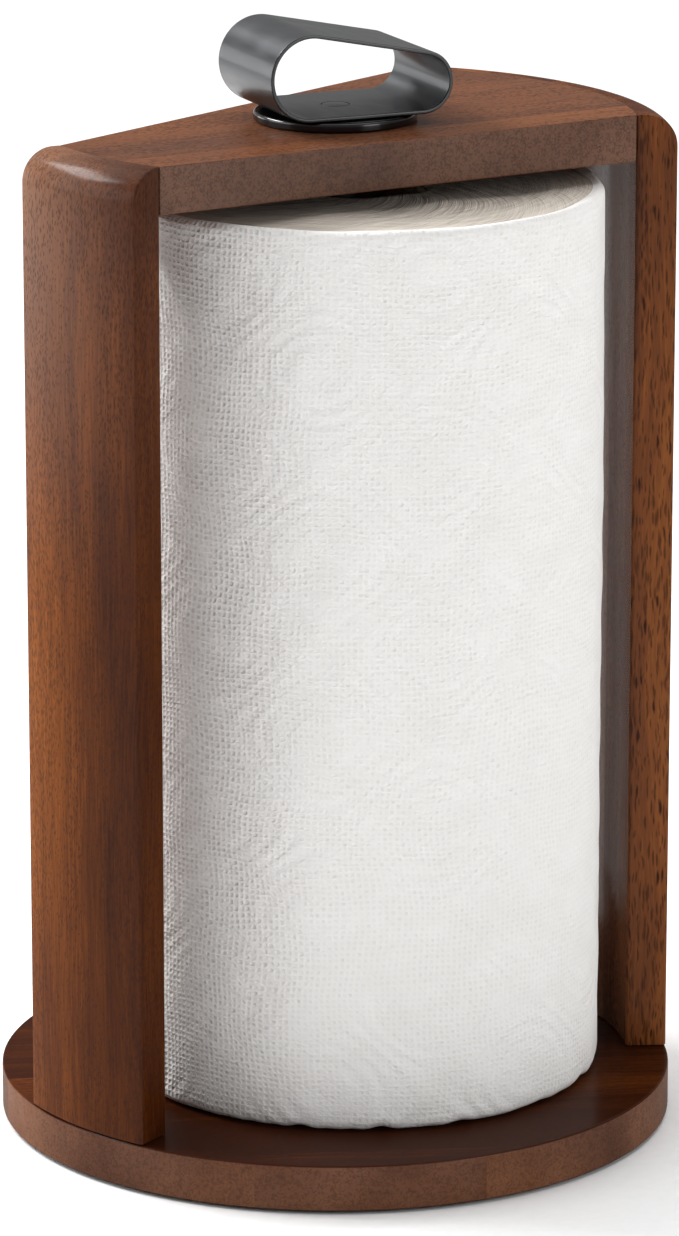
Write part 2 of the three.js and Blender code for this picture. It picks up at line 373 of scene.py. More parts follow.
def wood(name, turn, board, shift, seed, tone=0.0, lean=0.0, level_face_shade=0.0, painted_top_shading=0.0,
         boards=0.22, figured=1.0, pores=0.5, flecks=0.2, pore_length=2.5 * MM, curl=3.4 * MM,
         speckled=False, painted_sheen=0.0, high_painted_sheen=0.0, painted_sheen_lean=0.0, gloss=0.14):
    """Stained hardwood under satin varnish. turn brings the grain onto X and the edge-glued
    boards side by side along Y. board is their width, and boards is how much their tones differ.

    tone lightens or darkens the stain. lean lightens or darkens it by so much per metre along Y,
    as painted light that is brighter on one side. level_face_shade is painted shade added on level
    faces, which darkens a top that the holder shades, and painted_top_shading is painted light and
    shade that grows towards the top of the holder. figured, pores and flecks set how strongly the
    bands, the short pores and the longer dark flecks show. pore_length is the pores' spacing along
    the grain, and curl how far they bend. A speckled board's upright faces are cut across the
    grain, so that their pores are small curls; they are also greyer, partly in the wood's own tone
    and partly as a painted reflection of the pale surroundings. haze is a painted grey reflection
    all over and high_painted_sheen one that grows towards the top; painted_sheen_lean is how fast
    both grow along Y, as a share of themselves per metre. haze also sets the varnish's sheen. gloss
    is how much the varnish shows."""
    s = Shader(name)
    coordinates = s.node("ShaderNodeTexCoord").outputs
    along = s.turn(coordinates["Object"], turn)
    beside = s.parts(along)[1]
    chance, moved = cut_boards(s, along, board, shift, seed)
    grain = s.vector("ADD", moved, s.stir(moved, BEND, (0.0, BEND_REACH, BEND_REACH)))
    bent = s.vector("ADD", moved, s.stir(moved, 210.0, (1.0 * MM, curl, curl)))
    upright = s.spread(s.math("ABSOLUTE", s.parts(coordinates["Normal"])[2]), 0.3, 0.6, 1.0, 0.0)
    rise = s.spread(s.parts(coordinates["Object"])[2], HIGH_FROM, HOLDER_TOP - TOP_ROUNDING)

    figure = s.noise(grain, FIGURE, 2.0)[0]
    streak = s.noise(grain, STREAKS, 3.0, 0.55)[0]
    fibre = s.noise(grain, FIBRES, 2.0, 0.6)[0]
    cloud = s.noise(moved, BEND, 1.0)[0]
    # Painted light and shade: level faces darkened, a lean along Y and a change towards the top
    value = s.math("MULTIPLY_ADD", upright, -level_face_shade, 0.5 + tone + level_face_shade)
    value = s.math("MULTIPLY_ADD", beside, lean, value)
    value = s.math("MULTIPLY_ADD", rise, painted_top_shading, value)
    for part, weight in ((figure, 0.95 * figured), (streak, 0.42 * figured), (fibre, 0.55),
                         (cloud, 0.85 * figured), (chance, boards)):
        value = s.math("MULTIPLY_ADD", s.centred(part), weight, value)
    colour = s.ramp(value, WOOD_STOPS)

    pore = short_pores(s, moved, bent, pore_length)
    if speckled:
        # Upright faces greyed, partly as painted reflection
        sawn = s.math("MULTIPLY", upright, SAWN_SHEEN_SHARE)
        colour = s.mix(sawn, colour, sawn_colour_and_sheen(s, moved, chance, boards))
        pore = s.blend_value(upright, pore, sawn_pores(s, moved))
    # Painted reflection: grey mixed into the colour, growing towards the top and along Y
    bloom = s.math("MULTIPLY", s.math("MULTIPLY_ADD", rise, high_painted_sheen, painted_sheen),
                   s.math("MULTIPLY_ADD", beside, painted_sheen_lean, 1.0))
    colour = s.mix(s.math("MAXIMUM", bloom, 0.0), colour, PAINTED_SHEEN_COLOUR)
    colour = s.mix(s.math("MULTIPLY", pore, pores), colour, PORE_COLOUR)
    fleck = s.spread(s.cells(bent, FLECKS)["Distance"], 0.09, 0.24, 1.0, 0.0)
    colour = s.mix(s.math("MULTIPLY", fleck, flecks), colour, PORE_COLOUR)

    relief = s.math("MULTIPLY_ADD", pore, -0.6, s.math("MULTIPLY", fibre, 0.4))
    waves = s.bump(s.noise(moved, WAVINESS, 2.0)[0], 1.2 * MM, 0.10)
    rough = s.math("MULTIPLY_ADD", pore, 0.18, s.spread(streak, 0.3, 0.7, 0.36, 0.48))
    return s.set(Base_Color=colour, Roughness=rough, Normal=s.bump(relief, 0.10 * MM, 0.5, waves),
                 Coat_Weight=gloss, Coat_Roughness=0.19, Coat_IOR=1.5, Specular_IOR_Level=0.0,
                 Sheen_Weight=0.004 + painted_sheen / 3, Sheen_Roughness=0.4,
                 Sheen_Tint=(0.93, 0.95, 1.0))


DENTS_ROUND = 256
DENT_HEIGHT = 1.78 * MM
DENT_DEPTH = 0.23 * MM
# Painted shade in the dents' hollows
DENT_SHADE_COLOUR = (0.60, 0.54, 0.49)
QUILTS_ROUND = 7
QUILT_HEIGHT = 56 * MM
QUILT_RINGS = 7
CRISP_SIDE = polar(1, 150)

# How far the dents' rows wander and the quilting pulls them, in radians of their pitch
WANDER_ROUND = 17.0
WANDER_UP = 20.0
QUILT_PULL = 1.8

PAPER_STOPS = ((0.25, (0.83, 0.815, 0.797)), (0.75, (0.868, 0.856, 0.84)))
# The wound top's tones, darker than the side's paper, partly as painted shade from the plate above
SHADED_WINDING_STOPS = ((0.50, (0.30, 0.255, 0.21)), (0.95, (0.70, 0.635, 0.56)))
# Dark hairs, which near the core also serve as painted shade
HAIR_SHADE_COLOUR = (0.13, 0.115, 0.10)


def round_the_roll(s):
    """Coordinates from the roll's axis: the vector, its X, Y and Z, and the angle round it."""
    from_axis = s.vector("SUBTRACT", s.place(), (ROLL_CENTRE.x, ROLL_CENTRE.y, 0.0))
    x, y, z = s.parts(from_axis)[:3]
    return from_axis, x, y, z, s.math("ARCTAN2", y, x)


def pressed_dents(s, angle, z, quilt):
    """A square grid of dents, of which every other one is deeper. Its rows and columns wander,
    and bend round the quilted ovals."""
    slip = s.math("MULTIPLY", s.centred(s.noise(s.place(), 36.0, 2.0)[0]), WANDER_ROUND)
    slip = s.math("MULTIPLY_ADD", quilt, QUILT_PULL, slip)
    lean = s.math("MULTIPLY", s.centred(s.noise(s.place(), 32.0, 2.0)[0]), WANDER_UP)
    lean = s.math("MULTIPLY_ADD", quilt, QUILT_PULL, lean)
    across = s.math("MULTIPLY_ADD", angle, DENTS_ROUND, slip)
    up = s.math("MULTIPLY_ADD", z, 2 * math.pi / DENT_HEIGHT, lean)
    rows, columns = (s.math("SUBTRACT", 1.0, s.math("COSINE", v)) for v in (across, up))
    halves = (s.math("SINE", s.math("MULTIPLY", v, 0.5)) for v in (across, up))
    every_other = s.math("MULTIPLY_ADD", s.math("MULTIPLY", *halves), 0.22, 0.78)
    return s.math("MULTIPLY", s.spread(s.math("MULTIPLY", rows, columns), 0.0, 2.8), every_other)


def roll_side():
    """Two-ply towel: rows of small pressed dents and faint ovals quilted round them, crisp on
    one side of the roll and nearly flat on the other, over soft crepe and fibre. The dents are
    darkened with painted shade, most on the crisp side, where the light grazes."""
    s = Shader("towel_paper")
    from_axis, x, y, z, angle = round_the_roll(s)
    quilt = s.math("ADD", s.math("COSINE", s.math("MULTIPLY", angle, QUILTS_ROUND)),
                   s.math("COSINE", s.math("MULTIPLY", z, 2 * math.pi / QUILT_HEIGHT)))
    towards = s.math("MULTIPLY_ADD", x, CRISP_SIDE[0], s.math("MULTIPLY", y, CRISP_SIDE[1]))
    crisp = s.spread(towards, 12 * MM, 56 * MM, 0.60, 2.0)
    depth = s.spread(s.noise(s.place(), (110, 110, 140), 2.0)[0], 0.30, 0.62, 0.40, 1.0)
    dent = s.math("MULTIPLY", pressed_dents(s, angle, z, quilt), depth)
    dent = s.math("MULTIPLY", dent, crisp)
    mottle = s.noise(s.place(), (60, 60, 90), 3.0)[0]
    crepe = s.noise(from_axis, (620, 620, 1100), 3.0, 0.6)[0]
    wrinkle = s.noise(from_axis, (75, 75, 110), 3.0, 0.5, 0.6)[0]
    oval = s.math("COSINE", s.math("MULTIPLY", quilt, QUILT_RINGS * math.pi / 2))
    oval = s.math("MULTIPLY", oval, s.spread(mottle, 0.35, 0.65, 0.15, 0.65))
    fibre = s.noise(from_axis, 2600.0, 2.0)[0]
    height = s.math("MULTIPLY_ADD", crepe, 1.8, s.math("MULTIPLY", dent, -1.0))
    height = s.math("MULTIPLY_ADD", s.math("MULTIPLY", wrinkle, crisp), 2.2, height)
    height = s.math("ADD", oval, s.math("MULTIPLY_ADD", fibre, 0.15, height))
    # Painted shade: the dents darkened, most where they are crisp
    colour = s.mix(s.math("MULTIPLY", dent, 0.32), s.ramp(mottle, PAPER_STOPS), DENT_SHADE_COLOUR)
    return s.set(Base_Color=colour, Roughness=s.spread(crepe, 0.3, 0.7, 0.88, 0.98),
                 Normal=s.bump(height, DENT_DEPTH, 1.0), Sheen_Weight=0.06, Sheen_Roughness=0.6,
                 Specular_IOR_Level=0.25)


def roll_end():
    """The wound edge of the paper: fine turns, brushed across by the saw that cut the log. Its
    tones, and the dark hairs that crowd towards the core, are partly painted shade from the plate.
    """
    s = Shader("towel_winding")
    x, y, _, angle = round_the_roll(s)[1:]
    radius = s.math("SQRT", s.math("ADD", s.math("MULTIPLY", x, x), s.math("MULTIPLY", y, y)))
    swirl = s.math("MULTIPLY_ADD", radius, 26.0, angle)
    round_it = s.join(s.math("MULTIPLY", s.math("COSINE", swirl), 0.5),
                      s.math("MULTIPLY", s.math("SINE", swirl), 0.5), radius)
    turns = s.noise(round_it, (9, 9, 2300), 2.0, 0.6)[0]
    brushed = s.noise(round_it, (170, 170, 70), 3.0, 0.7)[0]
    hairs_and_shade = s.spread(s.noise(round_it, (260, 260, 50), 2.0, 0.6)[0], 0.42, 0.60)
    # The hairs crowd towards the core as painted shade near the plate
    hairs_and_shade = s.math("MULTIPLY", hairs_and_shade, s.spread(radius, 34 * MM, 64 * MM, 0.90, 0.15))
    height = s.math("MULTIPLY_ADD", brushed, 0.9, s.math("MULTIPLY", turns, 0.8))
    colour = s.mix(hairs_and_shade, s.ramp(height, SHADED_WINDING_STOPS), HAIR_SHADE_COLOUR)
    return s.set(Base_Color=colour, Roughness=s.spread(turns, 0.3, 0.7, 0.9, 1.0),
                 Normal=s.bump(height, 0.35 * MM, 0.8), Specular_IOR_Level=0.2)


def satin_metal(name, colour, worn, rough, coat):
    """Painted metal: fine orange peel, faint rubbing marks, and cloudier places from handling."""
    s = Shader(name)
    place = s.place()
    peel = s.noise(place, 3800.0, 2.0)[0]
    rubbed = s.noise(place, (260, 45, 520), 3.0, 0.6)[0]
    cloud = s.noise(place, 55.0, 2.0)[0]
    shade = s.math("MULTIPLY_ADD", rubbed, 0.35, s.math("MULTIPLY", cloud, 0.65))
    tint = s.ramp(shade, ((0.3, colour), (0.7, worn)))
    even = s.spread(shade, 0.3, 0.7, rough - 0.05, rough + 0.05)
    return s.set(Base_Color=tint, Metallic=0.9, Roughness=s.math("MULTIPLY_ADD", peel, 0.06, even),
                 Normal=s.bump(peel, 0.03 * MM, 0.35), Coat_Weight=coat, Coat_Roughness=0.12)


def steel():
    """Zinc-plated screw steel with turning marks and a slightly yellow passivated bloom."""
    s = Shader("screw_steel_look")
    place = s.place()
    marks = s.noise(place, (900, 900, 5200), 2.0)[0]
    bloom = s.noise(place, 420.0, 3.0)[0]
    tint = s.ramp(bloom, ((0.3, (0.48, 0.47, 0.43)), (0.7, (0.66, 0.66, 0.66))))
    return s.set(Base_Color=tint, Metallic=1.0, Roughness=s.spread(marks, 0.3, 0.7, 0.24, 0.42),
                 Normal=s.bump(marks, 0.03 * MM, 0.4))


def rubber():
    """Matte black rubber with a moulded grain and a little dust."""
    s = Shader("pad_rubber")
    place = s.place()
    grain = s.noise(place, 2400.0, 3.0)[0]
    dust = s.noise(place, 300.0, 3.0)[0]
    tint = s.ramp(dust, ((0.35, (0.014, 0.014, 0.015)), (0.75, (0.042, 0.041, 0.040))))
    return s.set(Base_Color=tint, Roughness=s.spread(dust, 0.3, 0.7, 0.78, 0.95),
                 Normal=s.bump(grain, 0.08 * MM, 0.6), Specular_IOR_Level=0.3)


CORE_CLIMB = 85 * MM


def cardboard():
    """Grey-brown core board, with the seam of its winding climbing round it."""
    s = Shader("core_board")
    from_axis, _, _, z, angle = round_the_roll(s)
    climb = s.math("MULTIPLY_ADD", z, 1 / CORE_CLIMB, s.math("DIVIDE", angle, 2 * math.pi))
    near_seam = s.math("ABSOLUTE", s.centred(s.math("FRACT", climb)))
    seam = s.spread(near_seam, 0.0, 0.012, 1.0, 0.0)
    fibre = s.noise(from_axis, (600, 600, 1500), 3.0, 0.6)[0]
    fleck = s.spread(s.noise(from_axis, 900.0, 2.0)[0], 0.62, 0.72)
    tint = s.ramp(fibre, ((0.25, (0.20, 0.135, 0.085)), (0.75, (0.34, 0.24, 0.155))))
    tint = s.mix(s.math("MULTIPLY", fleck, 0.5), tint, (0.17, 0.11, 0.07))
    tint = s.mix(s.math("MULTIPLY", seam, 0.7), tint, (0.12, 0.08, 0.05))
    height = s.math("SUBTRACT", s.math("MULTIPLY", fibre, 0.4), seam)
    return s.set(Base_Color=tint, Roughness=s.spread(fibre, 0.3, 0.7, 0.85, 0.95),
                 Normal=s.bump(height, 0.12 * MM, 0.7))


def dowel_wood():
    """Bare beech dowel: pale, with short flecks and fine lengthwise fibre."""
    s = Shader("bare_dowel")
    place = s.place()
    fleck = s.noise(place, 1500.0, 2.0)[0]
    band = s.noise(place, (300, 300, 300), 3.0)[0]
    tint = s.ramp(band, ((0.3, (0.44, 0.28, 0.15)), (0.7, (0.60, 0.42, 0.25))))
    tint = s.mix(s.spread(fleck, 0.6, 0.7, 0.0, 0.5), tint, (0.28, 0.16, 0.08))
    return s.set(Base_Color=tint, Roughness=s.spread(band, 0.3, 0.7, 0.68, 0.82),
                 Normal=s.bump(fleck, 0.06 * MM, 0.5))


# ---------------------------------------------------------------- wooden frame

LOWEST_BAND = 20 * MM
STRAIGHT_RINGS = 12


def board_outline(inner, outer, arc, inner_ease, outer_ease, inset, steps):
    """Plan of a curved board: two arcs and two radial ends, with its four corners rounded. The
    ends are set back by inset."""
    start, end = arc
    far, near = outer - outer_ease, inner + inner_ease
    far_turn = math.degrees(math.asin((outer_ease + inset) / far))
    near_turn = math.degrees(math.asin((inner_ease + inset) / near))

    def corner(distance, angle, ease, first, last):
        return arc_points(polar(distance, angle), ease, first, last, CORNER_STEPS)

    return (corner(far, start + far_turn, outer_ease, start - 90, start + far_turn)
            + arc_points((0, 0), outer, start + far_turn, end - far_turn, steps)[1:-1]
            + corner(far, end - far_turn, outer_ease, end - far_turn, end + 90)
            + corner(near, end - near_turn, inner_ease, end + 90, end + 180 - near_turn)
            + arc_points((0, 0), inner, end - near_turn, start + near_turn, steps)[1:-1]
            + corner(near, start + near_turn, inner_ease, start + 180 + near_turn, start + 270))


def eased_depth(distance, ease):
    """How far a face has rounded away at this distance from its edge."""
    if distance >= ease:
        return 0.0
    return ease - math.sqrt(max(0.0, ease * ease - (ease - distance) ** 2))


def board_levels():
    """Heights of a curved board's rings, each with its outer radius there."""
    shoulder, turn_from = DISC_RADIUS - TOP_ROUNDING, HOLDER_TOP - TOP_ROUNDING
    foot = [WALL_FOOT + FOOT_EASE * (1 - math.cos(t)) for t in np.linspace(0, math.pi / 2, 4)]
    straight = np.linspace(WALL_FOOT + LOWEST_BAND, turn_from, STRAIGHT_RINGS)[:-1]
    rounded = arc_points((shoulder, turn_from), TOP_ROUNDING, 0, 90, ROUNDING_STEPS)
    return [(z, DISC_RADIUS) for z in (*foot, *straight)] + [(z, r) for r, z in rounded]


def curved_board(name, node, arc, material, inner_material=None):
    """A post or wall: eased foot and ends, and a broad rounding along its outer top edge. Its
    inner face may have a material of its own."""
    steps = round(arc[1] - arc[0])
    rings = []
    for z, outer in board_levels():
        foot = eased_depth(z - WALL_FOOT, FOOT_EASE)
        end_inset = foot + eased_depth(HOLDER_TOP - z, PLATE_EASE)
        plan = board_outline(WALL_INNER + foot, outer - foot, arc, INNER_EASE, EDGE_EASE,
                             end_inset, steps)
        rings.append([(x, y, z) for x, y in plan])
    board = loft(name, rings)
    if inner_material:
        for face in board.data.polygons:
            outward = face.normal.xy.dot(face.center.xy) / face.center.xy.length
            face.material_index = int(outward < -0.9)
    keep_flats_flat(board)
    materials = [m for m in (material, inner_material) if m]
    finish_piece(board, "frame", "stained_wood", [node], *materials)


def plate_outline(radius, inset):
    """Plan of the top plate: an arc along each wall, and a straight edge at front and back, both
    set back by inset."""
    front_middle = (POST_ARC[1] + WALL_ARC[0] + 360) / 2
    back_middle = (WALL_ARC[1] + POST_ARC[0]) / 2

    def half(middle, corner):
        reach = math.cos(math.radians(middle - corner)) - inset / radius
        return math.degrees(math.acos(reach))

    front, back = half(front_middle, POST_ARC[1]), half(back_middle, WALL_ARC[1])
    return (arc_points((0, 0), radius, front_middle + front - 360, back_middle - back, 48)
            + arc_points((0, 0), radius, back_middle + back, front_middle - front, 24))


def upright_cutter(name, radius, low, high, centre=(0, 0), segments=64):
    """A round cutter for a straight hole."""
    return turned(name, [(radius, low), (radius, high)], segments, centre)


def top_plate(material):
    """The bow-shaped plate, with eased edges and the rod's hole."""
    radius = WALL_INNER - SEAM
    up = [PLATE_UNDERSIDE + PLATE_EASE * (1 - math.cos(t)) for t in np.linspace(0, math.pi / 2, 5)]
    down = [PLATE_UNDERSIDE + HOLDER_TOP - z for z in reversed(up)]
    rings = []
    for z in up + down:
        inset = eased_depth(min(z - PLATE_UNDERSIDE, HOLDER_TOP - z), PLATE_EASE)
        rings.append([(x, y, z) for x, y in plate_outline(radius, inset)])
    plate = loft("top_plate_wood", rings)
    carve(plate, [upright_cutter("rod_hole", ROD_HOLE, PLATE_UNDERSIDE - GAP, HOLDER_TOP + GAP)])
    keep_flats_flat(plate)
    finish_piece(plate, "frame", "stained_wood", ["top_plate"], material)


def countersink(name, screw_low, screw_high):
    """A cutter for a screw's head and shank, right through the base."""
    head = (screw_high.x - screw_low.x) / 2
    rim = screw_low.z + SCREW_RIM
    profile = [(head + GAP, base_low.z - GAP), (head + GAP, rim),
               (head / 2 + GAP, rim + head / 2), (head / 2 + GAP, base_high.z + GAP)]
    return turned(name, profile, 48, ((screw_low + screw_high) / 2).xy)


def base_disc(material):
    """The round base, with the rod's socket, the pads' recesses and the screws' holes."""
    low, high = base_low.z, base_high.z
    disc = turned("base_disc_wood", pin_profile(DISC_RADIUS, low, high, RIM_EASE), 240)
    cutters = [upright_cutter("rod_socket", ROD_HOLE, rod_low.z - GAP, high + GAP)]
    for i in PADS:
        pad_low, pad_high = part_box(f"foot_pad_{i}")
        middle = (pad_low + pad_high) / 2
        radius = (pad_high.x - pad_low.x) / 2
        cutters.append(upright_cutter(f"pad_recess_{i}", radius + GAP, low - GAP,
                                      pad_high.z + GAP, middle.xy))
    for i in SCREWS:
        cutters.append(countersink(f"countersink_{i}", *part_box(f"base_screw_{i}")))
    carve(disc, cutters)
    keep_flats_flat(disc)
    finish_piece(disc, "frame", "stained_wood", ["base_disc"], material)


# ---------------------------------------------------------------- rod and handle

HANDLE_TURN = -6.5
STRAP = 1.2 * MM
STRAP_EDGE = 0.28 * MM
STRAP_WIDTH = 41 * MM
BIG_END = (-16.5 * MM, 13.4 * MM)
SMALL_END = (20.3 * MM, 9.7 * MM)
SCREW_HEAD = 4.3 * MM
SCREW_HEAD_EASE = 0.3 * MM
SCREW_HEAD_PLAY = 0.12 * MM
SHANK_RADIUS = 2.4 * MM
SHANK_TIP = 0.5 * MM
SHANK_HOLE = 2.7 * MM
THREAD_DEPTH = 14.3 * MM
FLANGE_BEVEL = 1.0 * MM
FLANGE_FOOT = 0.4 * MM
ROD_EASE = 1.0 * MM


def belt_path():
    """The strap's middle line, as (x, z, normal angle in degrees): a belt round two ends."""
    run = SMALL_END[0] - BIG_END[0]
    drop = BIG_END[1] - SMALL_END[1]
    lean = math.degrees(math.acos(drop / math.hypot(run, drop)) - math.atan2(drop, run))
    path = []
    for (x, radius), first, last, steps in ((SMALL_END, -90, lean, 36), (BIG_END, lean, 270, 56)):
        middle = radius - STRAP / 2
        for angle, point in zip(np.linspace(first, last, steps + 1),
                                arc_points((x, strap_floor + radius), middle, first, last,
                                           steps)):
            path.append((*point, angle))
    return path


def strap_section():
    """The strap's cross-section, as (depth, width) points round a thin rounded rectangle."""
    across, deep = STRAP_WIDTH / 2 - STRAP_EDGE, STRAP / 2 - STRAP_EDGE
    return (arc_points((deep, -across), STRAP_EDGE, -90, 0, 3)
            + arc_points((deep, across), STRAP_EDGE, 0, 90, 3)
            + arc_points((-deep, across), STRAP_EDGE, 90, 180, 3)
            + arc_points((-deep, -across), STRAP_EDGE, 180, 270, 3))


def strap_loop(material, edge_material):
    """The closed strap, with its screw's hole, and with its cut edges in their own material."""
    rings = []
    for x, z, angle in belt_path():
        out_x, out_z = polar(1, angle)
        rings.append([(x + d * out_x, w, z + d * out_z) for d, w in strap_section()])
    loop = loft("strap_handle", rings, loop=True)
    carve(loop, [upright_cutter("head_hole", SCREW_HEAD + SCREW_HEAD_PLAY, strap_floor - GAP,
                                strap_floor + STRAP + GAP)])
    limit = STRAP_WIDTH / 2 - STRAP_EDGE * 1.2
    for face in loop.data.polygons:
        if abs(face.center.y) > limit:
            face.material_index = 1
    loop.data.transform(Matrix.Rotation(math.radians(HANDLE_TURN), 4, "Z"))
    keep_flats_flat(loop)
    finish_piece(loop, "handle", "gunmetal", ["handle_loop"], material, edge_material)


def flange(material):
    """The round flange under the strap, pierced for the screw's shank."""
    low, high, radius = flange_low.z, flange_high.z, flange_high.x
    foot, bevel = FLANGE_FOOT, FLANGE_BEVEL
    profile = (arc_points((radius - foot, low + foot), foot, -90, 0, 4)
               + arc_points((radius - bevel, high - bevel), bevel, 0, 90, 8))
    disc = turned("flange_disc", profile, 160)
    carve(disc, [upright_cutter("shank_hole", SHANK_HOLE, low - GAP, high + GAP, segments=32)])
    keep_flats_flat(disc)
    finish_piece(disc, "handle", "black_metal", ["handle_flange"], material)


def flush_screw(material):
    """The screw whose plain head fills the hole in the strap's floor."""
    tip, top = (corner.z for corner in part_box("handle_screw"))
    ease = SCREW_HEAD_EASE
    profile = ([(SHANK_RADIUS - SHANK_TIP, tip), (SHANK_RADIUS, tip + SHANK_TIP),
                (SHANK_RADIUS, strap_floor), (SCREW_HEAD, strap_floor)]
               + arc_points((SCREW_HEAD - ease, top - ease), ease, 0, 90, 4))
    screw = turned("flush_screw", profile, 48)
    screw.data.set_sharp_from_angle(angle=CRISP_ANGLE)
    finish_piece(screw, "handle", "gunmetal", ["handle_screw"], material)


def lift_rod(material):
    """The plain rod, with a threaded hole in its top, drawn smooth."""
    top = rod_high.z
    rod = turned("lift_rod", pin_profile(rod_high.x, rod_low.z, top, ROD_EASE), 72)
    carve(rod, [upright_cutter("thread_hole", SHANK_HOLE, top - THREAD_DEPTH, top + GAP,
                               segments=32)])
    keep_flats_flat(rod)
    finish_piece(rod, "spindle", "gunmetal", ["spindle_rod"], material)


# ---------------------------------------------------------------- paper roll

ROLL_SEGMENTS = 384
SIDE_LEVELS = 200
TOP_RINGS = 28
FOOT_RINGS = 8
PAPER_FOOT = 3.4 * MM
PAPER_LIP = 2.3 * MM
RIPPLE = 0.13 * MM
SWELL = 0.16 * MM
TAIL_HEADING = math.radians(75)
TAIL_STEP = 0.35 * MM
TOP_CROWN = 0.35 * MM
TOP_TURNS = 0.10 * MM
TOP_SUNK = 0.55 * MM
TOP_DISH = 0.4 * MM
LIP_WAVES = 0.4 * MM
FOOT_WAVES = 0.35 * MM
CORE_SUNK = 2.5 * MM
CORE_WALL = 1.3 * MM
CORE_EASE = 0.3 * MM


def waves(rng, angle, along, count, turns, rate):
    """A sum of smooth waves round the roll, which closes on itself."""
    total = np.zeros(np.broadcast(angle, along).shape)
    for _ in range(count):
        n = rng.integers(turns[0], turns[1] + 1)
        k = rng.uniform(*rate) * rng.choice((-1, 1))
        total += np.sin(n * angle + k * along + rng.uniform(0, 2 * math.pi))
    return total / math.sqrt(count)


def roll_sections(inner, low, high):
    """The winding's plain profile, as (radius, z, part) from the core round to the core again."""
    foot, lip = PAPER_FOOT, PAPER_LIP
    foot_arc = arc_points((ROLL_RADIUS - foot, low + foot), foot, -90, 0, 7)
    lip_arc = arc_points((ROLL_RADIUS - lip, high - lip), lip, 0, 90, 5)
    side = np.linspace(low + foot, high - lip, SIDE_LEVELS)[1:-1]
    return ([(r, low, "end") for r in np.linspace(inner, ROLL_RADIUS - foot, FOOT_RINGS)[:-1]]
            + [(r, z, "foot") for r, z in foot_arc]
            + [(ROLL_RADIUS, z, "side") for z in side]
            + [(r, z, "lip") for r, z in lip_arc]
            + [(r, high, "top") for r in np.linspace(ROLL_RADIUS - lip, inner, TOP_RINGS)[1:]])


def paper_roll(side, winding):
    """The full winding: a lightly rippled side that steps in where the last turn ends, softened
    edges and a slightly uneven wound top."""
    rng = np.random.default_rng(SEED)
    inner, low, high = CORE_RADIUS + GAP, roll_low.z, roll_high.z
    sections = roll_sections(inner, low, high)
    radius, level = (np.array([[s[i]] for s in sections]) for i in (0, 1))
    part = np.array([[s[2]] for s in sections])
    angle = np.arange(ROLL_SEGMENTS)[None, :] * 2 * math.pi / ROLL_SEGMENTS

    outside = np.isin(part, ("foot", "side", "lip"))
    ripple = (RIPPLE * waves(rng, angle, level, 7, (9, 26), (90, 260))
              + SWELL * waves(rng, angle, level, 4, (2, 6), (15, 50)))
    tail = (angle - TAIL_HEADING) % (2 * math.pi) / (2 * math.pi)
    radius = radius + np.where(outside, ripple - TAIL_STEP * tail, 0.0)

    share = (radius - inner) / (ROLL_RADIUS - inner)
    crown = TOP_CROWN * waves(rng, angle, radius, 5, (2, 7), (60, 200))
    turns = TOP_TURNS * rng.standard_normal((len(sections), 1))
    sunk = -TOP_SUNK - TOP_DISH * np.clip(share, 0, 1)
    lip = LIP_WAVES * waves(rng, angle, 0 * radius, 5, (3, 11), (0, 1))
    foot = FOOT_WAVES * waves(rng, angle, 0 * radius, 4, (8, 30), (0, 1)) ** 2
    level = level + np.where(part == "top", crown + turns + sunk, 0.0)
    level = level + np.where(part == "lip", lip, 0.0)
    level = level + np.where(part == "foot", foot, 0.0)
    level = np.clip(level, low, high)

    x = ROLL_CENTRE.x + radius * np.cos(angle)
    y = ROLL_CENTRE.y + radius * np.sin(angle)
    rings = np.stack([x, y, np.broadcast_to(level, x.shape)], axis=-1)
    roll = loft("towel_roll", rings.tolist(), loop=True)
    ends = np.repeat(~outside[:, 0] & ~np.roll(outside[:, 0], -1), ROLL_SEGMENTS)
    roll.data.polygons.foreach_set("material_index", ends.astype(int))
    finish_piece(roll, "roll", "paper", ["paper_roll"], side, winding)


def roll_core(material):
    """The core tube, which ends a little below the paper's top."""
    outer, inner, ease = CORE_RADIUS, CORE_RADIUS - CORE_WALL, CORE_EASE
    low, high = core_low.z, core_high.z - CORE_SUNK
    profile = (arc_points((outer - ease, low + ease), ease, -90, 0, 3)
               + arc_points((outer - ease, high - ease), ease, 0, 90, 3)
               + arc_points((inner + ease, high - ease), ease, 90, 180, 3)
               + arc_points((inner + ease, low + ease), ease, 180, 270, 3))
    core = turned("roll_core", profile, 96, ROLL_CENTRE.xy, loop=True)
    finish_piece(core, "roll", "cardboard", ["cardboard_core"], material)


# ---------------------------------------------------------------- hidden fasteners and pads

PAD_EASE = 0.6 * MM
PAD_DISH = 0.35 * MM
HEAD_EASE = 0.2 * MM
DRIVE_DEPTH = 2.2 * MM
DRIVE_ARM = 2.1 * MM
THREAD_PITCH = 1.6 * MM
THREAD_HEIGHT = 0.45 * MM
PLAIN_SHANK = 8 * MM
SCREW_POINT = 3 * MM
DOWEL_HALF = 10 * MM
DOWEL_POINTS = 48
FLUTE_EVERY = 4
FLUTE_DEPTH = 0.04


def foot_pads(material):
    """Round rubber pads with a shallow dish in the underside."""
    for i in PADS:
        low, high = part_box(f"foot_pad_{i}")
        radius = (high.x - low.x) / 2
        profile = pin_profile(radius, low.z, high.z, PAD_EASE)
        dish = [(radius - 2.5 * MM, low.z + PAD_DISH), (radius - 1.8 * MM, low.z)]
        pad = turned(f"rubber_pad_{i}", dish + profile, 64, ((low + high) / 2).xy)
        keep_flats_flat(pad)
        finish_piece(pad, "frame", "rubber", [f"foot_pad_{i}"], material)


